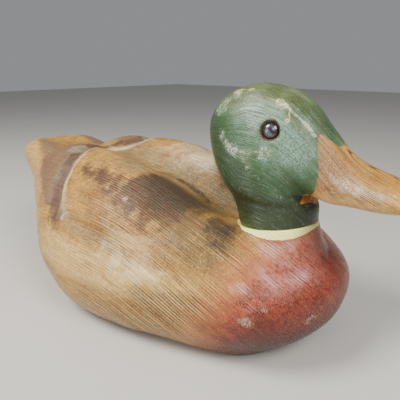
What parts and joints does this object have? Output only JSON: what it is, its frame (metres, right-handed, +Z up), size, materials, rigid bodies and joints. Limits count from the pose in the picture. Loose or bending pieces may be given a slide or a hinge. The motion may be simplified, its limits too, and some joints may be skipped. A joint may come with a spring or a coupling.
{
  "type": "duck decoy",
  "caption": "Carved wooden duck decoy with a plump flat-bottomed body, folded wings in low relief, upturned tail, round head with a broad bill and glass eyes.",
  "frame": {"origin": "middle of the duck's box at the height of its flat underside", "axes": "+Z up, -Y the way the bill points, +X the duck's own left side"},
  "size_m": [0.1798, 0.3823, 0.1702],
  "materials": {
    "body_paint": "worn satin paint on carved wood with combed grain lines",
    "head_paint": "worn satin green and ochre paint on carved wood",
    "eye_glass": "polished dark glass"
  },
  "bodies": {
    "root": {"body": "body_paint", "head": "head_paint", "eye_right": "eye_glass", "eye_left": "eye_glass"}
  },
  "joints": []
}
